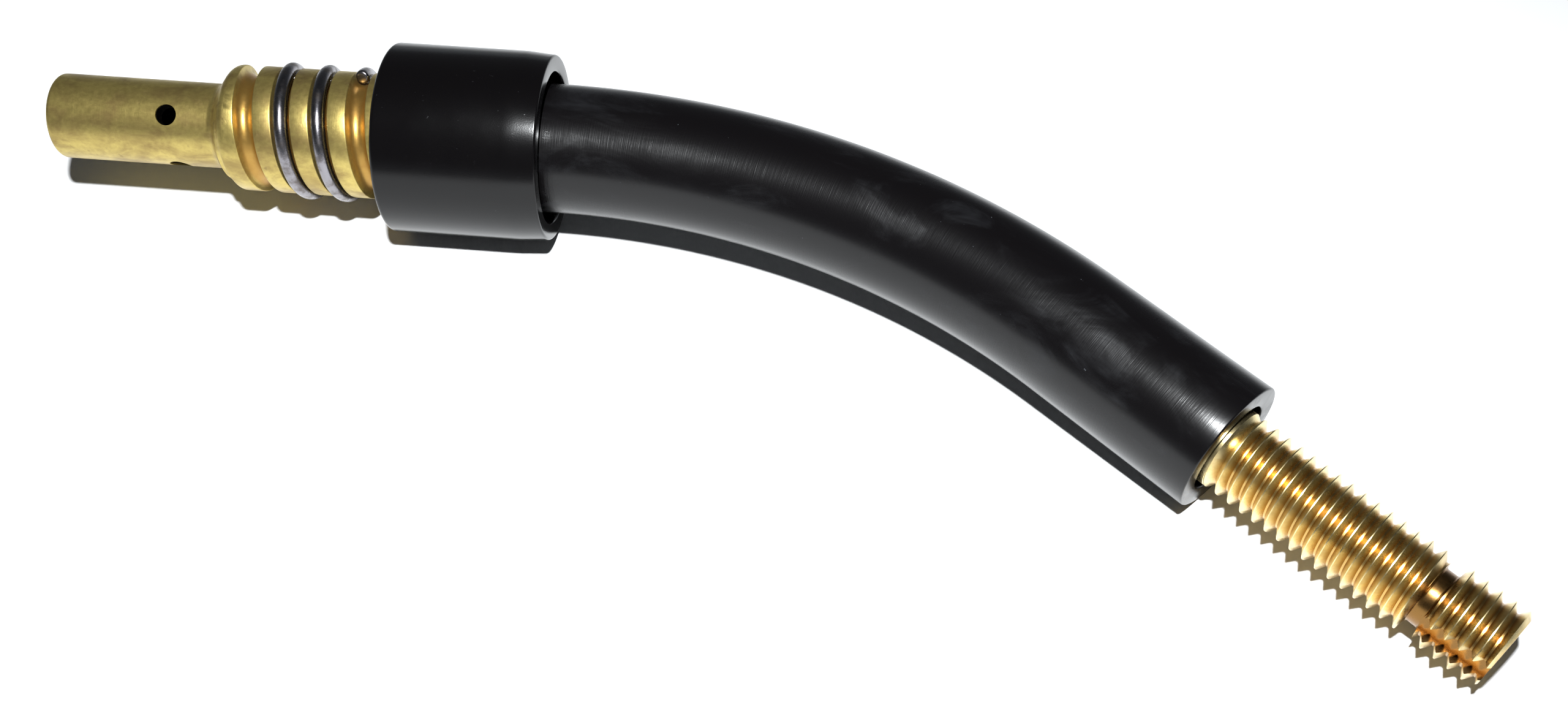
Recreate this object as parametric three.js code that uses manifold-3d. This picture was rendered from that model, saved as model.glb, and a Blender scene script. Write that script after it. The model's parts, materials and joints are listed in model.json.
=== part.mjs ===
import * as THREE from "three";
import { mergeVertices } from "three/addons/utils/BufferGeometryUtils.js";
import Module from "manifold-3d";

// The neck of an air-cooled MIG welding torch, without nozzle, contact tip and handle. Millimetres.
// The pieces are built in the neck's own frame: the front face is at x = 0, the front axis runs
// along +X and the neck bends towards -Y. The whole neck is then turned as it lies on a table.

// Front body, turned from one brass bar: barrel, cone, spring seat, hub and spigot.
const barrelDiameter = 10.4;
const barrelLength = 20.2;
const barrelEdge = 0.55;
const tipBoreDiameter = 5;
const tipBoreDepth = 10;
const gasHoleDiameter = 2.6;
const gasHoleStation = 15.2;
const gasHoleCount = 4;
const gasHoleTurn = THREE.MathUtils.degToRad(124.5);
const chamberDiameter = 6.8;
const chamberEnd = 18.4;
const coveRadius = 1.3;
const coneAngle = THREE.MathUtils.degToRad(53);
const seatDiameter = 15.4;
const crestRadius = 1.2;
const seatLength = 19.13;
const hubLength = 6.1;
const spigotSetback = 3.65;

// Helical groove of the spring seat, and the wire that lies in it.
const groovePitch = 4.6;
const grooveStation = 0.82;
const grooveGap = 0.27;
const grooveRunOut = 0.6;
const wireDiameter = 1.7;
const wireStand = 0.65;
const wireStartTurns = 0.87;
const wireSetback = 2.79;

// Insulating collar.
const collarLength = 19.75;
const collarWall = 2.3;
const collarTaper = 0.25;
const collarTaperLength = 3.2;
const collarEdge = 0.55;
const recessGap = 1.4;

// Bent sleeve.
const sleeveWall = 2.425;
const sleeveStraight = 0.5;
const bendRadius = 96.8;
const bendAngle = THREE.MathUtils.degToRad(41);
const sleeveTail = 21.3;

// Conductor tube inside the sleeve, and the sockets that take its ends.
const tubeWall = 1.2;
const socketWall = 0.94;
const socketDepth = 8;

// Threaded rear stud.
const threadDiameter = 9.48;
const threadPitch = 1.5875;
const threadDepth = 0.95;
const threadCrest = 0.16;
const threadStart = 0.6;
const threadStation = 1.19;
const studReach = 33.7;
const studInside = 12;
const studEdge = 0.6;
const reliefStation = 25.4;
const reliefWidth = 1.5;
const reliefDepth = 1.44;
const slotWidth = 2.2;
const slotTurn = THREE.MathUtils.degToRad(171.7);

// Radial gaps: between any two pieces that fit together, and round the stud in the sleeve's mouth.
const fitGap = 0.3;
const studGap = 0.7;

// Facets round each piece, steps along each sweep, and steps of each rounded edge.
const bodySides = 36;
const holeSides = 16;
const collarSides = 48;
const threadSides = 16;
const sleeveSides = 32;
const tubeSides = 20;
const wireSides = 10;
const sleeveSteps = 22;
const tubeSteps = 18;
const grooveSteps = 24;
const coveSteps = 4;
const edgeSteps = 3;
const lipSteps = 2;

const wasm = await Module();
wasm.setup();

const TURN = 2 * Math.PI;

const brass = new THREE.MeshStandardMaterial({ color: 0xb3923f, roughness: 0.3, metalness: 1 });
const threadBrass = new THREE.MeshStandardMaterial({ color: 0xc29b45, roughness: 0.24, metalness: 1 });
const springSteel = new THREE.MeshStandardMaterial({ color: 0x83827f, roughness: 0.3, metalness: 1 });
const copper = new THREE.MeshStandardMaterial({ color: 0xb4693f, roughness: 0.35, metalness: 1 });
const collarPlastic = new THREE.MeshStandardMaterial({ color: 0x0b0b0c, roughness: 0.22, metalness: 0 });
const sleevePlastic = new THREE.MeshStandardMaterial({ color: 0x101114, roughness: 0.3, metalness: 0 });

// A right-handed helix about the X axis. A turn of 0 is on the +Y side, and turns run towards +Z.
// Its frames keep their normals radial, so that a swept section doesn't twist.
class Helix extends THREE.Curve {
  constructor(radius, pitch, station, startTurn, endTurn) {
    super();
    Object.assign(this, { radius, pitch, station, startTurn, endTurn });
  }

  turnAt(t) {
    return this.startTurn + (this.endTurn - this.startTurn) * t;
  }

  getPoint(t, target = new THREE.Vector3()) {
    const turn = this.turnAt(t);
    const x = this.station + this.pitch * turn;
    return target.set(x, this.radius * Math.cos(TURN * turn), this.radius * Math.sin(TURN * turn));
  }

  computeFrenetFrames(segments) {
    const frames = { tangents: [], normals: [], binormals: [] };
    for (let i = 0; i <= segments; i++) {
      const angle = TURN * this.turnAt(i / segments);
      const normal = new THREE.Vector3(0, Math.cos(angle), Math.sin(angle));
      const around = new THREE.Vector3(0, -Math.sin(angle), Math.cos(angle));
      const tangent = around.multiplyScalar(TURN * this.radius).setX(this.pitch).normalize();
      frames.tangents.push(tangent);
      frames.normals.push(normal);
      frames.binormals.push(new THREE.Vector3().crossVectors(tangent, normal));
    }
    return frames;
  }
}

// The centre line of the sleeve: straight, an arc towards -Y, and straight again.
class NeckLine extends THREE.Curve {
  constructor(start, bendStart, end) {
    super();
    Object.assign(this, { start, bendStart, end });
  }

  getPoint(t, target = new THREE.Vector3()) {
    const along = this.start + (this.end - this.start) * t - this.bendStart;
    const turned = THREE.MathUtils.clamp(along / bendRadius, 0, bendAngle);
    const straight = along - turned * bendRadius;
    const reach = bendRadius * Math.sin(turned) + straight * Math.cos(turned);
    const drop = bendRadius * (1 - Math.cos(turned)) + straight * Math.sin(turned);
    return target.set(this.bendStart + reach, -drop, 0);
  }
}

function solidOf(geometry) {
  const bare = geometry.clone().deleteAttribute("normal").deleteAttribute("uv");
  const merged = mergeVertices(bare, 1e-4);
  const triVerts = new Uint32Array(merged.index.array);
  const vertProperties = merged.attributes.position.array;
  return new wasm.Manifold(new wasm.Mesh({ numProp: 3, vertProperties, triVerts }));
}

function geometryOf(solid) {
  const mesh = solid.getMesh();
  const geometry = new THREE.BufferGeometry();
  geometry.setAttribute("position", new THREE.BufferAttribute(mesh.vertProperties, 3));
  geometry.setIndex(new THREE.BufferAttribute(mesh.triVerts, 1));
  geometry.computeVertexNormals();
  return geometry;
}

// Turns a closed outline of [station, radius] points about the X axis.
function turned(outline, segments) {
  const points = [...outline, outline[0]].map(([station, radius]) => new THREE.Vector2(radius, station));
  return new THREE.LatheGeometry(points, segments).rotateZ(-Math.PI / 2);
}

// Points of an arc in the station-radius plane, from one angle to another, in degrees from +station.
function arc(station, radius, size, from, to, steps) {
  return Array.from({ length: steps + 1 }, (_, i) => {
    const angle = THREE.MathUtils.degToRad(from + ((to - from) * i) / steps);
    return [station + size * Math.cos(angle), radius + size * Math.sin(angle)];
  });
}

function swept(shape, path, steps, sides = 4) {
  return new THREE.ExtrudeGeometry(shape, { steps, curveSegments: sides / 2, extrudePath: path });
}

function disc(diameter) {
  return new THREE.Shape().absarc(0, 0, diameter / 2, 0, TURN);
}

function ring(outer, inner) {
  const shape = disc(outer);
  shape.holes.push(new THREE.Path().absarc(0, 0, inner / 2, 0, TURN, true));
  return shape;
}

// Diameters that follow from the stud and the walls and gaps round it.
const sleeveBore = threadDiameter + 2 * studGap;
const sleeveDiameter = sleeveBore + 2 * sleeveWall;
const recessDiameter = sleeveDiameter + 2 * recessGap;
const collarDiameter = recessDiameter + 2 * collarWall;
const socketDiameter = threadDiameter - 2 * socketWall;
const tubeDiameter = socketDiameter - 2 * fitGap;
const passageDiameter = tubeDiameter - 2 * tubeWall;
const spigotDiameter = sleeveBore - 2 * fitGap;
const reliefDiameter = threadDiameter - 2 * reliefDepth;
const grooveWidth = 2 * (wireDiameter - wireStand + grooveGap);

// Stations along the neck.
const coneRise = (seatDiameter - barrelDiameter) / 2 - (coveRadius + crestRadius) * (1 - Math.cos(coneAngle));
const coneRun = (coveRadius + crestRadius) * Math.sin(coneAngle) + coneRise / Math.tan(coneAngle);
const seatStart = barrelLength + coneRun;
const collarFront = seatStart + seatLength;
const hubEnd = collarFront + hubLength;
const collarRear = collarFront + collarLength;
const bendStart = collarRear + sleeveStraight;
const spigotEnd = bendStart - spigotSetback;
const sleeveEnd = bendStart + bendRadius * bendAngle + sleeveTail;
const tubeStart = spigotEnd - socketDepth + fitGap;
const tubeEnd = sleeveEnd - studInside + socketDepth - fitGap;
const grooveFirst = seatStart + grooveStation;
const wireEndTurns = (collarFront - wireSetback - wireDiameter / 2 - grooveFirst) / groovePitch;

// Front body: the outline, four gas holes, and the helical groove that runs out through the cone.
function makeFrontBody() {
  const barrel = barrelDiameter / 2;
  const seat = seatDiameter / 2;
  const coneDegrees = THREE.MathUtils.radToDeg(coneAngle);
  const outline = [
    [0, tipBoreDiameter / 2],
    ...arc(barrelEdge, barrel - barrelEdge, barrelEdge, 180, 90, edgeSteps),
    ...arc(barrelLength, barrel + coveRadius, coveRadius, 270, 270 + coneDegrees, coveSteps),
    ...arc(seatStart, seat - crestRadius, crestRadius, 90 + coneDegrees, 90, coveSteps),
    [hubEnd, seat],
    [hubEnd, spigotDiameter / 2],
    [spigotEnd, spigotDiameter / 2],
    [spigotEnd, socketDiameter / 2],
    [spigotEnd - socketDepth, socketDiameter / 2],
    [spigotEnd - socketDepth, passageDiameter / 2],
    [chamberEnd, passageDiameter / 2],
    [chamberEnd, chamberDiameter / 2],
    [tipBoreDepth, chamberDiameter / 2],
    [tipBoreDepth, tipBoreDiameter / 2],
  ];
  let body = solidOf(turned(outline, bodySides));

  const hole = gasHoleDiameter / 2;
  for (let i = 0; i < gasHoleCount; i++) {
    const drill = new THREE.CylinderGeometry(hole, hole, barrel, holeSides);
    drill.translate(0, (chamberDiameter / 2 + barrel) / 2, 0);
    drill.rotateX(gasHoleTurn + (TURN * i) / gasHoleCount).translate(gasHoleStation, 0, 0);
    body = body.subtract(solidOf(drill));
  }

  const firstTurn = -(grooveFirst - barrelLength) / groovePitch;
  const lastTurn = (collarFront + grooveRunOut - grooveFirst) / groovePitch;
  const path = new Helix(seat, groovePitch, grooveFirst, firstTurn, lastTurn);
  const steps = Math.ceil(grooveSteps * (lastTurn - firstTurn));
  const cutter = swept(disc(grooveWidth), path, steps, wireSides);
  return geometryOf(body.subtract(solidOf(cutter)));
}

// Nozzle spring: round wire that lies in the groove and stands proud of the seat.
function makeNozzleSpring() {
  const radius = seatDiameter / 2 + wireStand - wireDiameter / 2;
  const path = new Helix(radius, groovePitch, grooveFirst, wireStartTurns, wireEndTurns);
  const steps = Math.ceil(grooveSteps * (wireEndTurns - wireStartTurns));
  return swept(disc(wireDiameter), path, steps, wireSides);
}

// Insulating collar: it sits on the hub and is hollow behind, round the sleeve.
function makeInsulatingCollar() {
  const outer = collarDiameter / 2;
  const rear = outer - collarTaper;
  const bore = seatDiameter / 2 + fitGap;
  const lip = collarEdge / 2;
  const outline = [
    [collarFront, bore],
    ...arc(collarFront + collarEdge, outer - collarEdge, collarEdge, 180, 90, edgeSteps),
    [collarRear - collarTaperLength, outer],
    ...arc(collarRear - lip, rear - lip, lip, 90, 0, lipSteps),
    [collarRear, recessDiameter / 2],
    [hubEnd - fitGap, recessDiameter / 2],
    [hubEnd - fitGap, bore],
  ];
  return turned(outline, collarSides);
}

function makeNeckSleeve() {
  const path = new NeckLine(hubEnd + fitGap, bendStart, sleeveEnd);
  return swept(ring(sleeveDiameter, sleeveBore), path, sleeveSteps, sleeveSides);
}

function makeConductorTube() {
  const path = new NeckLine(tubeStart, bendStart, tubeEnd);
  return swept(ring(tubeDiameter, passageDiameter), path, tubeSteps, tubeSides);
}

// Rear stud, along its own X axis with the sleeve's rear face at 0: a shank that takes the tube,
// and a coarse 60 degree thread with a relief groove and a slot from there to the end.
function makeRearStud() {
  const major = threadDiameter / 2;
  const root = major - threadDepth;
  const core = turned(
    [
      [-studInside, socketDiameter / 2],
      [-studInside, major],
      [threadStart, major],
      [threadStart + threadDepth, root],
      [studReach, root],
      [studReach, passageDiameter / 2],
      [socketDepth - studInside, passageDiameter / 2],
      [socketDepth - studInside, socketDiameter / 2],
    ],
    threadSides,
  );
  const envelope = turned(
    [
      [-2 * studInside, 0],
      [-2 * studInside, 2 * major],
      [studReach - studEdge - major, 2 * major],
      [studReach, major - studEdge],
      [studReach, 0],
    ],
    threadSides,
  );

  const sink = 0.15;
  const flank = Math.tan(Math.PI / 6);
  const halfCrest = threadCrest / 2;
  const halfBase = halfCrest + (threadDepth + sink) * flank;
  const ridge = new THREE.Shape([
    new THREE.Vector2(-sink, -halfBase),
    new THREE.Vector2(threadDepth, -halfCrest),
    new THREE.Vector2(threadDepth, halfCrest),
    new THREE.Vector2(-sink, halfBase),
  ]);
  const lastTurn = Math.ceil((studReach - threadStation) / threadPitch);
  const path = new Helix(root, threadPitch, threadStation, 0, lastTurn);
  const thread = swept(ridge, path, Math.round(threadSides * lastTurn));

  const relief = turned(
    [
      [reliefStation - reliefWidth / 2, reliefDiameter / 2],
      [reliefStation - reliefWidth / 2, threadDiameter],
      [reliefStation + reliefWidth / 2, threadDiameter],
      [reliefStation + reliefWidth / 2, reliefDiameter / 2],
    ],
    threadSides,
  );
  const slotLength = studReach - reliefStation + studEdge;
  const slot = new THREE.BoxGeometry(slotLength, threadDiameter, slotWidth);
  slot.translate(reliefStation + slotLength / 2, (reliefDiameter + threadDiameter) / 2, 0);
  slot.rotateX(slotTurn);

  let stud = solidOf(core).add(solidOf(thread)).intersect(solidOf(envelope));
  stud = stud.subtract(solidOf(relief)).subtract(solidOf(slot));
  return geometryOf(stud);
}

function named(name, geometry, material) {
  const mesh = new THREE.Mesh(geometry, material);
  mesh.name = name;
  return mesh;
}

const neck = new THREE.Group();
neck.add(named("front_body", makeFrontBody(), brass));
neck.add(named("nozzle_spring", makeNozzleSpring(), springSteel));
neck.add(named("insulating_collar", makeInsulatingCollar(), collarPlastic));
neck.add(named("neck_sleeve", makeNeckSleeve(), sleevePlastic));
neck.add(named("conductor_tube", makeConductorTube(), copper));

const studSeat = new THREE.Group();
new NeckLine(0, bendStart, sleeveEnd).getPoint(1, studSeat.position);
studSeat.rotation.z = -bendAngle;
studSeat.add(named("rear_stud", makeRearStud(), threadBrass));
neck.add(studSeat);

// At rest the collar lies along the table and the sleeve's rear edge touches it, so the front axis
// is level and the bend leans over by the difference of the two radii.
const sleeveDrop = -studSeat.position.y;
neck.rotation.x = Math.asin((collarDiameter - sleeveDiameter) / 2 / sleeveDrop);

const part = new THREE.Group();
part.add(neck);
const box = new THREE.Box3().setFromObject(part, true);
const centre = box.getCenter(new THREE.Vector3());
neck.position.set(-centre.x, -centre.y, -box.min.z);

export default part;
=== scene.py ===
import json
from math import acos, atan2, cos, pi, radians, sin, tan

import bmesh
import bpy
from mathutils import Matrix, Vector


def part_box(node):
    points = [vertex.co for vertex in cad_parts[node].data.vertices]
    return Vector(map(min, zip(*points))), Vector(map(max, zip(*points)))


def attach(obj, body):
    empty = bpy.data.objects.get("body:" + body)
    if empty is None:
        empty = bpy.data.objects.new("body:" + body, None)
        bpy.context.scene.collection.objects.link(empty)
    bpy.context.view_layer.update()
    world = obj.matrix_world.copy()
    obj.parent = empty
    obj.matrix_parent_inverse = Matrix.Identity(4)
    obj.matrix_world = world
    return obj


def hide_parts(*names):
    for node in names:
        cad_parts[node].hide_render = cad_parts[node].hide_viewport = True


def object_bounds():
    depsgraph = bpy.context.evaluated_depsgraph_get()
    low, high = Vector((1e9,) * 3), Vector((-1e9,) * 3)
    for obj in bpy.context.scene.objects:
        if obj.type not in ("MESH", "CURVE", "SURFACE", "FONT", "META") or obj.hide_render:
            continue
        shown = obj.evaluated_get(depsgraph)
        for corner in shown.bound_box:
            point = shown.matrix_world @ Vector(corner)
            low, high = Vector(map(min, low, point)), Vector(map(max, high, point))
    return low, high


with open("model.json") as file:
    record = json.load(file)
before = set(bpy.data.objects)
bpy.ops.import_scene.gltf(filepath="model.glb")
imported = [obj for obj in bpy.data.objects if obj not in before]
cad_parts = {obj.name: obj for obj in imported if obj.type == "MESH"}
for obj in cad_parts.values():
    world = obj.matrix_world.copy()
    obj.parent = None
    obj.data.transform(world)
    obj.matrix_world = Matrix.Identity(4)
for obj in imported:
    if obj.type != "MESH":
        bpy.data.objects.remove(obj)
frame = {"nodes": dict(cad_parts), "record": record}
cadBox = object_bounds()
mounts = {mount["name"]: mount for mount in frame["record"]["mounts"]}
print("frame loaded:", ", ".join(frame["nodes"]))

# The neck is built in millimetres in its own frame and placed at the end: x runs back along the
# front axis from the front face, and the neck bends towards -y.
studAxis = Vector(mounts["stud_end"]["axis"])
bendAngle = acos(studAxis.x)
restTilt = atan2(-studAxis.z, -studAxis.y)
frontLow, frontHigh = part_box("front_body")
axisPoint = Vector((frontLow.x, (frontLow.y + frontHigh.y) / 2, (frontLow.z + frontHigh.z) / 2))
neckPlace = Matrix.Translation(axisPoint) @ Matrix.Rotation(restTilt, 4, "X") @ Matrix.Scale(0.001, 4)


def stationOf(point):
    return (neckPlace.inverted() @ Vector(point)).x


collarFront = stationOf(mounts["nozzle_stop"]["pos_m"])
collarRear = stationOf(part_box("insulating_collar")[1])
frontEnd = stationOf(frontHigh)
bend = {"radius": 96.8, "start": collarRear + 0.5, "tail": 21.3}
studTurn = Matrix.Rotation(-bendAngle, 4, "Z")


# A point of the straightened neck, put where the bend takes it.
def bentPlace(along):
    turned = min(max((along - bend["start"]) / bend["radius"], 0), bendAngle)
    rest = along - bend["start"] - turned * bend["radius"]
    x = bend["start"] + bend["radius"] * sin(turned) + rest * cos(turned)
    y = -bend["radius"] * (1 - cos(turned)) - rest * sin(turned)
    return Matrix.Translation((x, y, 0)) @ Matrix.Rotation(-turned, 4, "Z")


def straightened(point):
    side = point.y + bend["radius"]
    turned = min(max(atan2(point.x - bend["start"], side), 0), bendAngle)
    placed = bentPlace(bend["start"] + turned * bend["radius"]).inverted() @ point
    return Vector((bend["start"] + turned * bend["radius"] + placed.x, placed.y, placed.z))


sleeveEnd = bend["start"] + bend["radius"] * bendAngle + bend["tail"]
studPlace = neckPlace @ bentPlace(sleeveEnd)


# Materials are written as expressions: a Wire is a socket that can be added, multiplied and so on.
class Wire:
    def __init__(self, finish, socket):
        self.finish = finish
        self.socket = socket

    def math(self, operation, first, second):
        return self.finish.node("ShaderNodeMath", {"operation": operation}, {0: first, 1: second})

    def __add__(self, other):
        return self.math("ADD", self, other)

    def __sub__(self, other):
        return self.math("SUBTRACT", self, other)

    def __rsub__(self, other):
        return self.math("SUBTRACT", other, self)

    def __mul__(self, other):
        return self.math("MULTIPLY", self, other)

    def __pow__(self, other):
        return self.math("POWER", self, other)

    __radd__ = __add__
    __rmul__ = __mul__


class Finish:
    def __init__(self, owner, shader="ShaderNodeBsdfPrincipled", output="ShaderNodeOutputMaterial"):
        self.owner = owner
        owner.use_nodes = True
        self.tree = owner.node_tree
        self.tree.nodes.clear()
        made = self.node(shader)
        self.shader = made.socket.node
        self.node(output, None, {"Surface": made})

    def node(self, kind, settings=None, inputs=None, output=0):
        made = self.tree.nodes.new(kind)
        for key, value in (settings or {}).items():
            setattr(made, key, value)
        for key, value in (inputs or {}).items():
            self.feed(made.inputs[key], value)
        return Wire(self, made.outputs[output]) if made.outputs else None

    def feed(self, socket, value):
        if isinstance(value, Wire):
            self.tree.links.new(value.socket, socket)
        else:
            socket.default_value = value

    def shade(self, inputs):
        for key, value in inputs.items():
            self.feed(self.shader.inputs[key], value)
        return self.owner

    # Position on the piece in millimetres, with x along its own axis, stretched by a scale.
    def place(self, scale=(1, 1, 1)):
        spot = self.node("ShaderNodeAttribute", {"attribute_name": "ownPlace"}, output=1)
        return self.node("ShaderNodeMapping", None, {"Vector": spot, "Scale": scale})

    # The way along the piece's own axis and the distance from it, in millimetres.
    def alongAndReach(self):
        along, side, up = (
            self.node("ShaderNodeSeparateXYZ", None, {0: self.place()}, output=i) for i in range(3)
        )
        return along, (side * side + up * up) ** 0.5

    def noise(self, size, detail=3, scale=(1, 1, 1), rough=0.55, warp=0.0):
        inputs = {
            "Vector": self.place(scale), "Scale": 1 / size, "Detail": detail,
            "Roughness": rough, "Distortion": warp,
        }
        return self.node("ShaderNodeTexNoise", None, inputs)

    # Goes smoothly from 0 to 1 as value goes from low to high.
    def ramp(self, value, low, high):
        settings = {"interpolation_type": "SMOOTHSTEP"}
        inputs = {"Value": value, "From Min": low, "From Max": high}
        return self.node("ShaderNodeMapRange", settings, inputs)

    def blend(self, factor, first, second):
        colors = [(*color, 1) if isinstance(color, tuple) else color for color in (first, second)]
        inputs = {"Factor": factor, 6: colors[0], 7: colors[1]}
        return self.node("ShaderNodeMix", {"data_type": "RGBA"}, inputs, output=2)

    def bump(self, height, distance):
        inputs = {"Height": height, "Distance": distance, "Strength": 1.0}
        return self.node("ShaderNodeBump", None, inputs)


turnedBrassLook = {
    "dark": (0.38, 0.29, 0.085), "light": (0.60, 0.475, 0.155), "tarnish": (0.24, 0.165, 0.06),
    # The groove colour is painted shade for the floor of the spring groove, and the hole colour is painted
    # shade for the insides of the bores and gas holes.
    "spot": (0.2, 0.14, 0.06), "groove": (0.36, 0.19, 0.04), "hole": (0.006, 0.005, 0.004),
    "metallic": 0.88, "roughness": 0.31, "relief": 0.000014,
}


def turnedBrass():
    look = turnedBrassLook
    finish = Finish(bpy.data.materials.new("turnedBrass"))
    along, reach = finish.alongAndReach()
    barrel, seat = frontBody["barrel"] / 2, frontBody["seat"] / 2
    # Painted shade: from 1.5 mm behind the front face, brass surfaces well inside the barrel's radius are
    # coloured near-black. These are the insides of the bores and gas holes.
    paintedHoleShade = (1 - finish.ramp(reach, barrel - 0.35, barrel - 0.1)) * finish.ramp(along, 1.5, 2.5)
    # Painted shade: the floor of the spring groove behind the cone is coloured a darker amber.
    behindCone = finish.ramp(along, groove["station"] - 0.45, groove["station"] + 0.15)
    paintedGrooveShade = behindCone * (1 - finish.ramp(reach, seat - 1, seat - 0.35))
    stain = finish.ramp(finish.noise(2.8, 5, (0.6, 1, 1), 0.62, 0.4), 0.36, 0.7)
    satin = finish.noise(0.55, 4, rough=0.62)
    fine = finish.noise(0.14, 3, rough=0.6)
    spots = finish.ramp(finish.noise(0.8, 3, rough=0.45), 0.62, 0.8)
    cut = finish.noise(0.1, 2, (1, 0.02, 0.02))
    clean = finish.blend(satin, look["dark"], look["light"])
    tarnished = finish.blend(stain * 0.85, clean, look["tarnish"])
    spotted = finish.blend(spots * 0.5, tarnished, look["spot"])
    grooveShaded = finish.blend(paintedGrooveShade * 0.8, spotted, look["groove"])
    color = finish.blend(paintedHoleShade, grooveShaded, look["hole"])
    roughness = look["roughness"] + stain * 0.08 + satin * 0.12 + spots * 0.1
    height = satin * 0.45 + fine * 0.25 + cut * 0.4 - spots * 0.5
    return finish.shade({"Base Color": color, "Metallic": look["metallic"], "Roughness": roughness,
                         "Normal": finish.bump(height, look["relief"])})


# In this look the root colour is painted shade for the thread's roots, and the slot colour is painted shade
# for the relief groove and the slot.
threadedBrassLook = {
    "dark": (0.64, 0.50, 0.22), "light": (0.84, 0.71, 0.41), "paintedValleyShade": (0.46, 0.26, 0.06),
    "stain": (0.36, 0.25, 0.10), "slot": (0.13, 0.06, 0.018), "roughness": 0.21, "relief": 0.000012,
}


def threadedBrass():
    look = threadedBrassLook
    finish = Finish(bpy.data.materials.new("threadedBrass"))
    along, reach = finish.alongAndReach()
    crest, deep = stud["major"] / 2, stud["reliefDiameter"] / 2
    # Painted shade: the thread's roots are coloured a darker amber than its crests.
    paintedValleyShade = 1 - finish.ramp(reach, crest - stud["depth"] - 0.04, crest - 0.19)
    # Painted shade: from the relief groove back, surfaces lying deep below the thread's crests are coloured
    # dark brown. These are the relief groove, the slot's floor and, partly, the thread roots there.
    inSlot = finish.ramp(along, stud["relief"] - 1, stud["relief"] - 0.6)
    paintedSlotShade = (1 - finish.ramp(reach, deep + 0.1, deep + 1)) * inSlot
    stain = finish.ramp(finish.noise(3.4, 4, (0.5, 1, 1), 0.6, 0.3), 0.42, 0.72)
    mottle = finish.noise(0.4, 4, rough=0.65)
    cut = finish.noise(0.07, 2, (1, 0.02, 0.02))
    clean = finish.blend(mottle, look["dark"], look["light"])
    shaded = finish.blend(paintedValleyShade * 0.85, clean, look["paintedValleyShade"])
    worn = finish.blend(stain * 0.5, shaded, look["stain"])
    color = finish.blend(paintedSlotShade * 0.85, worn, look["slot"])
    roughness = look["roughness"] + stain * 0.1 + mottle * 0.1
    return finish.shade({"Base Color": color, "Metallic": 1.0, "Roughness": roughness,
                         "Normal": finish.bump(mottle * 0.4 + cut * 0.6, look["relief"])})


springSteelLook = {
    "clean": (0.25, 0.24, 0.26), "oxide": (0.12, 0.105, 0.10), "roughness": 0.2, "relief": 0.000008,
}


def springSteel():
    look = springSteelLook
    finish = Finish(bpy.data.materials.new("springSteel"))
    draw = finish.noise(0.12, 3, (0.3, 1, 1))
    oxide = finish.ramp(finish.noise(1.3, 4), 0.4, 0.7)
    color = finish.blend(oxide, look["clean"], look["oxide"])
    roughness = look["roughness"] + oxide * 0.16 + draw * 0.06
    return finish.shade({"Base Color": color, "Metallic": 1.0, "Roughness": roughness,
                         "Normal": finish.bump(draw, look["relief"])})


collarPlasticLook = {
    "body": (0.0022, 0.0019, 0.0021), "dust": (0.06, 0.06, 0.065), "roughness": 0.15,
    "refraction": 1.5, "specular": 0.26, "relief": 0.00001,
}


def collarPlastic():
    look = collarPlasticLook
    finish = Finish(bpy.data.materials.new("collarPlastic"))
    speckle = finish.noise(0.16, 3, rough=0.7)
    dust = finish.ramp(finish.noise(0.42, 4, rough=0.6), 0.68, 0.8)
    dull = finish.noise(3.2, 4)
    color = finish.blend(dust * 0.3, look["body"], look["dust"])
    roughness = look["roughness"] + dull * 0.08 + dust * 0.12
    height = speckle * 0.55 + dust * 0.4
    return finish.shade({"Base Color": color, "Roughness": roughness, "IOR": look["refraction"],
                         "Specular IOR Level": look["specular"],
                         "Normal": finish.bump(height, look["relief"])})


sleevePlasticLook = {
    "body": (0.0026, 0.0022, 0.0025), "dust": (0.08, 0.085, 0.095), "roughness": 0.22,
    "refraction": 1.5, "specular": 0.3, "relief": 0.000012,
}


def sleevePlastic():
    look = sleevePlasticLook
    finish = Finish(bpy.data.materials.new("sleevePlastic"))
    grain = finish.noise(0.3, 4, rough=0.65)
    haze = finish.ramp(finish.noise(7, 5, (0.45, 1, 1), 0.62, 1.4), 0.44, 0.7)
    smear = finish.ramp(finish.noise(4.2, 5, (0.3, 1, 1), 0.6, 0.8), 0.42, 0.8) * haze
    dust = finish.ramp(finish.noise(0.5, 3, rough=0.5), 0.75, 0.81)
    drawn = finish.noise(0.11, 2, (1, 0.02, 0.02))
    color = finish.blend(dust * 0.8 + smear * 0.12, look["body"], look["dust"])
    roughness = look["roughness"] + haze * 0.05 + smear * 0.12 + grain * 0.04
    height = drawn * 0.9 + grain * 0.3 + dust * 0.4
    return finish.shade({"Base Color": color, "Roughness": roughness, "IOR": look["refraction"],
                         "Specular IOR Level": look["specular"],
                         "Normal": finish.bump(height, look["relief"])})


bentCopperLook = {
    "clean": (0.62, 0.33, 0.2), "stain": (0.36, 0.17, 0.09), "roughness": 0.3, "patchesPerMetre": 450,
}


def bentCopper():
    look = bentCopperLook
    finish = Finish(bpy.data.materials.new("bentCopper"))
    spot = finish.node("ShaderNodeTexCoord", output=3)
    inputs = {"Vector": spot, "Scale": look["patchesPerMetre"], "Detail": 4}
    stain = finish.node("ShaderNodeTexNoise", None, inputs)
    color = finish.blend(stain, look["clean"], look["stain"])
    roughness = look["roughness"] + stain * 0.2
    return finish.shade({"Base Color": color, "Metallic": 1.0, "Roughness": roughness})


# Points of an arc in the station-radius plane, in degrees from +station.
def arc(station, radius, size, start, end, steps):
    angles = [radians(start + (end - start) * i / steps) for i in range(steps + 1)]
    return [(station + size * cos(a), radius + size * sin(a)) for a in angles]


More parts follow.
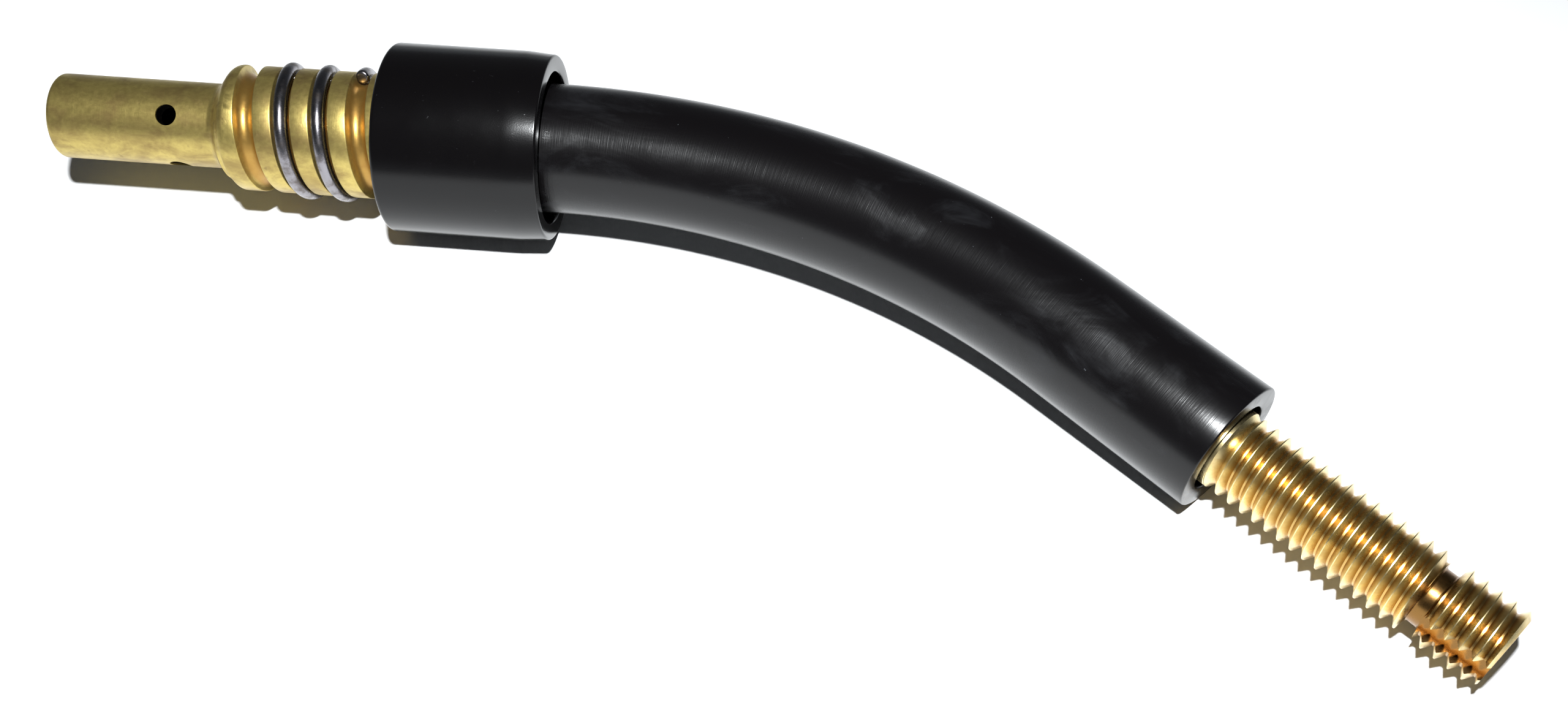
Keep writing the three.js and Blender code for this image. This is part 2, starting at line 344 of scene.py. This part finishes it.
def outlineMesh(points, closed=True):
    mesh = bmesh.new()
    verts = [mesh.verts.new((station, radius, 0)) for station, radius in points]
    for a, b in zip(verts, verts[1:] + verts[:1] if closed else verts[1:]):
        mesh.edges.new((a, b))
    return mesh


def turnedMesh(points, steps):
    onAxis = points[0][1] == 0 and points[-1][1] == 0
    mesh = outlineMesh(points, closed=not onAxis)
    bmesh.ops.spin(mesh, geom=mesh.verts[:] + mesh.edges[:], cent=(0, 0, 0), axis=(1, 0, 0),
                   dvec=(0, 0, 0), angle=2 * pi, steps=steps, use_merge=True, use_duplicate=False)
    bmesh.ops.remove_doubles(mesh, verts=mesh.verts[:], dist=1e-5)
    bmesh.ops.recalc_face_normals(mesh, faces=mesh.faces[:])
    return mesh


# A bar with a helical groove or thread all along it: one turn of its outline is swept like a
# screw, and the two ragged ends are cut square and closed.
def screwedBar(period, pitch, start, end, stepsPerTurn):
    turns = int((end - start) / pitch) + 3
    mesh = outlineMesh(period, closed=False)
    shift = pitch * round((start - pitch - period[0][0]) / pitch - 0.5)
    bmesh.ops.translate(mesh, verts=mesh.verts[:], vec=(shift, 0, 0))
    bmesh.ops.spin(mesh, geom=mesh.verts[:] + mesh.edges[:], cent=(0, 0, 0), axis=(1, 0, 0),
                   dvec=(pitch / stepsPerTurn, 0, 0), angle=2 * pi,
                   steps=stepsPerTurn, use_merge=False, use_duplicate=False)
    turn = mesh.verts[:] + mesh.edges[:] + mesh.faces[:]
    for i in range(1, turns):
        copied = bmesh.ops.duplicate(mesh, geom=turn)["geom"]
        verts = [v for v in copied if isinstance(v, bmesh.types.BMVert)]
        bmesh.ops.translate(mesh, verts=verts, vec=(pitch * i, 0, 0))
    bmesh.ops.remove_doubles(mesh, verts=mesh.verts[:], dist=1e-4)
    for station, facing in ((start, -1), (end, 1)):
        bmesh.ops.bisect_plane(mesh, geom=mesh.verts[:] + mesh.edges[:] + mesh.faces[:], dist=1e-5,
                               plane_co=(station, 0, 0), plane_no=(facing, 0, 0), clear_outer=True)
    bmesh.ops.holes_fill(mesh, edges=[e for e in mesh.edges if e.is_boundary], sides=0)
    bmesh.ops.recalc_face_normals(mesh, faces=mesh.faces[:])
    return mesh


def asObject(mesh, name):
    data = bpy.data.meshes.new(name)
    mesh.to_mesh(data)
    mesh.free()
    made = bpy.data.objects.new(name, data)
    bpy.context.scene.collection.objects.link(made)
    return made


def combine(mesh, other, operation):
    body = asObject(mesh, "combineBody")
    tool = asObject(other, "combineTool")
    step = body.modifiers.new("combine", "BOOLEAN")
    step.operation = operation
    step.solver = "MANIFOLD"
    step.object = tool
    shaped = body.evaluated_get(bpy.context.evaluated_depsgraph_get())
    result = bmesh.new()
    result.from_mesh(shaped.to_mesh())
    shaped.to_mesh_clear()
    for temporary in (body, tool):
        data = temporary.data
        bpy.data.objects.remove(temporary)
        bpy.data.meshes.remove(data)
    bmesh.ops.remove_doubles(result, verts=result.verts[:], dist=1e-4)
    return result


# Turns a mesh built in millimetres into a finished piece that stands for a CAD node.
def finishPiece(name, mesh, place, material, node, body="neck", own=None, sharp=32):
    for face in mesh.faces:
        face.smooth = True
    for edge in mesh.edges:
        edge.smooth = len(edge.link_faces) == 2 and edge.calc_face_angle(0) < radians(sharp)
    layer = mesh.verts.layers.float_vector.new("ownPlace")
    for vert in mesh.verts:
        vert[layer] = own(vert.co) if own else vert.co
    bmesh.ops.transform(mesh, matrix=place, verts=mesh.verts[:])
    piece = asObject(mesh, name)
    piece.data.materials.append(material)
    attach(piece, body)
    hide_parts(node)
    print(name, "has", len(piece.data.polygons), "faces")
    return piece


# The spring seat's groove, shared by the body and the wire.
groove = {
    "pitch": 4.6, "width": 2.3, "station": 24.15, "lip": 0.16, "lipSteps": 3, "floorSteps": 14, "steps": 96,
}

frontBody = {
    "barrel": 10.4, "barrelLength": 20.2, "barrelEdge": 0.55, "tipBore": 5, "tipBoreDepth": 10,
    "cove": 1.3, "cone": 53, "seat": 15.4, "crestRound": 1.2, "hub": 6.1, "spigot": 10.28,
    "chamber": 6.8, "chamberEnd": 18.4, "passage": 4.6, "gasHole": 2.6, "gasHoleStation": 15.2,
    "gasHoleTurn": 124.5, "gasHoles": 4, "gasHoleBreak": 0.04, "gasHoleFlare": 0.16, "gasHoleSteps": 40,
    "boreChamfer": 0.35, "edgeSteps": 8, "coveSteps": 12, "steps": 128, "overlap": 0.2, "overrun": 1,
}


def makeFrontBody(f):
    barrel, seat, cone = f["barrel"] / 2, f["seat"] / 2, radians(f["cone"])
    coneStart = (f["barrelLength"] + f["cove"] * sin(cone), barrel + f["cove"] * (1 - cos(cone)))
    crest = seat - f["crestRound"]
    rise = crest + f["crestRound"] * cos(cone) - coneStart[1]
    crestStation = coneStart[0] + rise / tan(cone) + f["crestRound"] * sin(cone)
    hubEnd = collarFront + f["hub"]
    outline = [
        (0, f["tipBore"] / 2 + f["boreChamfer"]),
        *arc(f["barrelEdge"], barrel - f["barrelEdge"], f["barrelEdge"], 180, 90, f["edgeSteps"]),
        *arc(f["barrelLength"], barrel + f["cove"], f["cove"], 270, 270 + f["cone"], f["coveSteps"]),
        *arc(crestStation, crest, f["crestRound"], 90 + f["cone"], 90, f["edgeSteps"]),
        (crestStation + 0.5, seat + f["overlap"]),
        (hubEnd, seat + f["overlap"]),
        (hubEnd, f["spigot"] / 2),
        (frontEnd, f["spigot"] / 2),
        (frontEnd, f["passage"] / 2),
        (f["chamberEnd"], f["passage"] / 2),
        (f["chamberEnd"], f["chamber"] / 2),
        (f["tipBoreDepth"], f["chamber"] / 2),
        (f["tipBoreDepth"], f["tipBore"] / 2),
        (f["boreChamfer"], f["tipBore"] / 2),
    ]
    body = turnedMesh(outline, f["steps"])

    half, lip = groove["width"] / 2, groove["lip"]
    low = groove["station"] - groove["pitch"] / 2
    period = [
        (low, seat),
        *arc(groove["station"] - half - lip, seat - lip, lip, 90, 0, groove["lipSteps"]),
        *arc(groove["station"], seat - lip, half, 180, 360, groove["floorSteps"])[1:-1],
        *arc(groove["station"] + half + lip, seat - lip, lip, 180, 90, groove["lipSteps"]),
        (low + groove["pitch"], seat),
    ]
    bar = screwedBar(period, groove["pitch"], -f["overrun"], frontEnd + f["overrun"], groove["steps"])
    body = combine(body, bar, "INTERSECT")

    hole, outside = f["gasHole"] / 2, barrel + f["overlap"]
    drill = turnedMesh([(0, 0), (0, hole), (barrel - f["gasHoleBreak"], hole),
                        (outside, hole + f["gasHoleFlare"]), (outside, 0)], f["gasHoleSteps"])
    bmesh.ops.rotate(drill, verts=drill.verts[:], cent=(0, 0, 0), matrix=Matrix.Rotation(pi / 2, 3, "Z"))
    bmesh.ops.translate(drill, verts=drill.verts[:], vec=(f["gasHoleStation"], 0, 0))
    bmesh.ops.rotate(drill, verts=drill.verts[:], cent=(0, 0, 0),
                     matrix=Matrix.Rotation(radians(f["gasHoleTurn"]), 3, "X"))
    for i in range(f["gasHoles"]):
        around = Matrix.Rotation(2 * pi * i / f["gasHoles"], 3, "X")
        turnedDrill = drill.copy()
        bmesh.ops.rotate(turnedDrill, verts=turnedDrill.verts[:], cent=(0, 0, 0), matrix=around)
        body = combine(body, turnedDrill, "DIFFERENCE")
    drill.free()
    return finishPiece("frontBody", body, neckPlace, turnedBrass(), "front_body")


makeFrontBody(frontBody)

nozzleSpring = {
    "wire": 1.7, "stand": 0.65, "startTurn": 0.87, "endTurn": 3.188, "steps": 72, "sides": 24,
    "endEdge": 0.34, "endSteps": 5,
}


def makeNozzleSpring(s):
    radius = frontBody["seat"] / 2 + s["stand"] - s["wire"] / 2
    turns = s["endTurn"] - s["startTurn"]
    lead = atan2(groove["pitch"], 2 * pi * radius)
    mesh = bmesh.new()
    bmesh.ops.create_circle(mesh, cap_ends=False, radius=s["wire"] / 2, segments=s["sides"])
    bmesh.ops.rotate(mesh, verts=mesh.verts[:], cent=(0, 0, 0), matrix=Matrix.Rotation(-lead, 3, "Y"))
    bmesh.ops.translate(mesh, verts=mesh.verts[:], vec=(groove["station"], radius, 0))
    bmesh.ops.translate(mesh, verts=mesh.verts[:], vec=(groove["pitch"] * s["startTurn"], 0, 0))
    bmesh.ops.rotate(mesh, verts=mesh.verts[:], cent=(0, 0, 0),
                     matrix=Matrix.Rotation(2 * pi * s["startTurn"], 3, "X"))
    steps = int(s["steps"] * turns)
    bmesh.ops.spin(mesh, geom=mesh.verts[:] + mesh.edges[:], cent=(0, 0, 0), axis=(1, 0, 0),
                   dvec=(groove["pitch"] * turns / steps, 0, 0), angle=2 * pi * turns, steps=steps,
                   use_merge=False, use_duplicate=False)
    bmesh.ops.holes_fill(mesh, edges=[e for e in mesh.edges if e.is_boundary], sides=0)
    bmesh.ops.recalc_face_normals(mesh, faces=mesh.faces[:])
    ends = [f for f in mesh.faces if len(f.verts) > 4]
    rims = {edge for face in ends for edge in face.edges}
    bmesh.ops.bevel(mesh, geom=list(rims), offset=s["endEdge"], offset_type="OFFSET", affect="EDGES",
                    segments=s["endSteps"], profile=0.5, material=-1)
    return finishPiece("nozzleSpring", mesh, neckPlace, springSteel(), "nozzle_spring", "spring")


makeNozzleSpring(nozzleSpring)

collar = {
    "outer": 23.13, "rear": 22.63, "taper": 3.2, "frontEdge": 0.55, "rearEdge": 0.28, "recess": 18.53,
    "recessEdge": 0.3, "recessRound": 0.5, "bore": 16.0, "web": 5.8, "steps": 160,
    "taperBlend": 0.8, "taperDrops": (0.02, 0.09), "frontSteps": 8, "rearSteps": 6, "recessSteps": 4,
}


def makeCollar(c):
    outer, rear, recess = c["outer"] / 2, c["rear"] / 2, c["recess"] / 2
    edge, rearEdge, rim, inner = c["frontEdge"], c["rearEdge"], c["recessEdge"], c["recessRound"]
    taper, web = collarRear - c["taper"], collarFront + c["web"]
    outline = [
        (collarFront, c["bore"] / 2),
        *arc(collarFront + edge, outer - edge, edge, 180, 90, c["frontSteps"]),
        (taper - c["taperBlend"], outer),
        (taper, outer - c["taperDrops"][0]),
        (taper + c["taperBlend"], outer - c["taperDrops"][1]),
        *arc(collarRear - rearEdge, rear - rearEdge, rearEdge, 90, 0, c["rearSteps"]),
        *arc(collarRear - rim, recess + rim, rim, 360, 270, c["recessSteps"]),
        *arc(web + inner, recess - inner, inner, 90, 180, c["recessSteps"]),
        (web, c["bore"] / 2),
    ]
    mesh = turnedMesh(outline, c["steps"])
    return finishPiece("insulatingCollar", mesh, neckPlace, collarPlastic(), "insulating_collar")


makeCollar(collar)

sleeve = {
    "outer": 15.73, "bore": 10.88, "start": 6.4, "edge": 0.22, "edgeSteps": 4,
    "sides": 128, "leadSteps": 4, "bendSteps": 80, "tailSteps": 6,
}


def makeSleeve(s):
    mesh = bmesh.new()
    start = collarFront + s["start"]
    for diameter in (s["outer"], s["bore"]):
        bmesh.ops.create_circle(mesh, cap_ends=False, radius=diameter / 2, segments=s["sides"])
    bmesh.ops.rotate(mesh, verts=mesh.verts[:], cent=(0, 0, 0), matrix=Matrix.Rotation(pi / 2, 3, "Y"))
    bmesh.ops.translate(mesh, verts=mesh.verts[:], vec=(start, 0, 0))
    rim = mesh.edges[:]
    first = rim[:]

    def pull(edges, step):
        made = bmesh.ops.extrude_edge_only(mesh, edges=edges)["geom"]
        verts = [v for v in made if isinstance(v, bmesh.types.BMVert)]
        bmesh.ops.translate(mesh, verts=verts, vec=step)
        return [e for e in made if isinstance(e, bmesh.types.BMEdge)]

    for i in range(s["leadSteps"]):
        rim = pull(rim, ((bend["start"] - start) / s["leadSteps"], 0, 0))
    spun = bmesh.ops.spin(mesh, geom=list({v for e in rim for v in e.verts}) + rim,
                          cent=(bend["start"], -bend["radius"], 0), axis=(0, 0, -1), dvec=(0, 0, 0),
                          angle=bendAngle, steps=s["bendSteps"], use_merge=False, use_duplicate=False)
    rim = [e for e in spun["geom_last"] if isinstance(e, bmesh.types.BMEdge)]
    for i in range(s["tailSteps"]):
        rim = pull(rim, studTurn @ Vector((bend["tail"] / s["tailSteps"], 0, 0)))
    bmesh.ops.bridge_loops(mesh, edges=first)
    bmesh.ops.bridge_loops(mesh, edges=rim)
    bmesh.ops.recalc_face_normals(mesh, faces=mesh.faces[:])
    bmesh.ops.bevel(mesh, geom=rim, offset=s["edge"], offset_type="OFFSET", affect="EDGES",
                    segments=s["edgeSteps"], profile=0.5, material=-1)
    return finishPiece("neckSleeve", mesh, neckPlace, sleevePlastic(), "neck_sleeve", own=straightened)


makeSleeve(sleeve)

stud = {
    "major": 9.48, "pitch": 1.5875, "depth": 0.95, "crest": 0.1, "root": 0.22, "threadStart": 0.6,
    "station": 1.19, "reach": 33.7, "inside": 12, "edge": 0.6, "bore": 4.6, "relief": 25.4,
    "reliefWidth": 1.5, "reliefDiameter": 6.6, "reliefRound": 0.25, "slot": 2.2, "slotTurn": 171.7,
    "shankEdge": 0.4, "boreEdge": 0.25, "endRound": 0.12, "steps": 80, "envelopeSteps": 96,
    "roundSteps": 4, "endSteps": 2, "overlap": 0.3, "overrun": 1,
}


def makeStud(s):
    major, root = s["major"] / 2, s["major"] / 2 - s["depth"]
    flank = (s["pitch"] - s["crest"] - s["root"]) / 2
    low = s["station"] - s["crest"] / 2 - flank - s["root"]
    period = [
        (low, root),
        (low + s["root"], root),
        (low + s["root"] + flank, major),
        (low + s["root"] + flank + s["crest"], major),
        (low + s["pitch"], root),
    ]
    barStart, shankEnd = s["threadStart"] - s["overlap"] - 0.2, s["threadStart"] - s["overlap"]
    bar = screwedBar(period, s["pitch"], barStart, s["reach"] + s["overrun"], s["steps"])
    runOut = s["threadStart"] + s["depth"]
    shank = turnedMesh([(-s["inside"], 0), (-s["inside"], major), (shankEnd, major),
                        (runOut, root - 0.1), (runOut, 0)], s["steps"])
    bar = combine(shank, bar, "UNION")

    relief, half, deep = s["relief"], s["reliefWidth"] / 2, s["reliefDiameter"] / 2
    wide, rounded = major + s["overlap"], s["reliefRound"]
    envelope = turnedMesh([
        (-s["inside"], s["bore"] / 2),
        (-s["inside"], major - s["shankEdge"]),
        (-s["inside"] + s["shankEdge"], wide),
        (relief - half - rounded, wide),
        *arc(relief - half + rounded, deep + rounded, rounded, 180, 270, s["roundSteps"]),
        *arc(relief + half - rounded, deep + rounded, rounded, 270, 360, s["roundSteps"]),
        (relief + half + rounded, wide),
        (s["reach"] - s["edge"] - s["overlap"], wide),
        *arc(s["reach"] - s["endRound"], major - s["edge"] - 0.05, s["endRound"], 45, 0, s["endSteps"]),
        (s["reach"], s["bore"] / 2 + s["boreEdge"]),
        (s["reach"] - s["boreEdge"], s["bore"] / 2),
    ], s["envelopeSteps"])
    mesh = combine(bar, envelope, "INTERSECT")

    slot = bmesh.new()
    bmesh.ops.create_cube(slot, size=1)
    length = s["reach"] - relief + s["overrun"]
    bmesh.ops.scale(slot, verts=slot.verts[:], vec=(length, major, s["slot"]))
    bmesh.ops.translate(slot, verts=slot.verts[:], vec=(relief + length / 2, deep + major / 2, 0))
    bmesh.ops.rotate(slot, verts=slot.verts[:], cent=(0, 0, 0),
                     matrix=Matrix.Rotation(radians(s["slotTurn"]), 3, "X"))
    mesh = combine(mesh, slot, "DIFFERENCE")
    return finishPiece("rearStud", mesh, studPlace, threadedBrass(), "rear_stud", sharp=25)


makeStud(stud)

# The conductor tube keeps its CAD mesh and gets a finish of its own.
tube = frame["nodes"]["conductor_tube"]
tube.data.materials.clear()
tube.data.materials.append(bentCopper())
print("all pieces made")

floorLook = {"size": 3.0, "color": (0.95, 0.95, 0.95, 1), "roughness": 0.6}


def makeFloor(f):
    mesh = bmesh.new()
    bmesh.ops.create_grid(mesh, x_segments=1, y_segments=1, size=f["size"] / 2)
    floor = asObject(mesh, "floor")
    finish = Finish(bpy.data.materials.new("paleFloor"))
    floor.data.materials.append(finish.shade({"Base Color": f["color"], "Roughness": f["roughness"]}))


makeFloor(floorLook)

camera = {
    "place": (0.01685, -0.12074, 0.13303), "turn": (39.818, -0.788, 5.026), "lens": 34.866, "shift": 0.0555,
}
flash = {"place": (0.0072, -0.111, 0.256), "size": 0.016, "power": 1.85, "tint": (0.95, 0.98, 1.0)}
world = {"top": 0.02, "side": 0.06, "rim": 0.3, "horizon": 0.2, "tint": (0.86, 0.93, 1.0)}


def makeStage():
    data = bpy.data.cameras.new("camera")
    data.lens = camera["lens"]
    data.sensor_width = 36
    data.shift_y = camera["shift"]
    data.clip_start = 0.005
    seen = bpy.data.objects.new("camera", data)
    seen.location = camera["place"]
    seen.rotation_euler = [radians(a) for a in camera["turn"]]
    bpy.context.scene.collection.objects.link(seen)
    bpy.context.scene.camera = seen

    middle = Vector(((cadBox[0][0] + cadBox[1][0]) / 2, (cadBox[0][1] + cadBox[1][1]) / 2, 0))
    data = bpy.data.lights.new("flash", "AREA")
    data.shape = "DISK"
    data.size = flash["size"]
    data.energy = flash["power"]
    data.color = flash["tint"]
    lamp = bpy.data.objects.new("flash", data)
    lamp.location = flash["place"]
    lamp.rotation_euler = (middle - lamp.location).to_track_quat("-Z", "Y").to_euler()
    lamp.visible_camera = False
    bpy.context.scene.collection.objects.link(lamp)

    sky = Finish(bpy.data.worlds.new("sky"), "ShaderNodeBackground", "ShaderNodeOutputWorld")
    facing = sky.node("ShaderNodeTexCoord")
    height = sky.node("ShaderNodeSeparateXYZ", None, {0: facing}, output=2)
    low = 1 - sky.ramp(height, 0, world["horizon"])
    high = 1 - sky.ramp(height, world["horizon"], 1)
    strength = world["top"] + low * world["rim"] + high * world["side"]
    sky.shade({"Color": (*world["tint"], 1), "Strength": strength})
    bpy.context.scene.world = sky.owner
    bpy.context.scene.view_settings.view_transform = "Standard"


makeStage()
print("stage set")
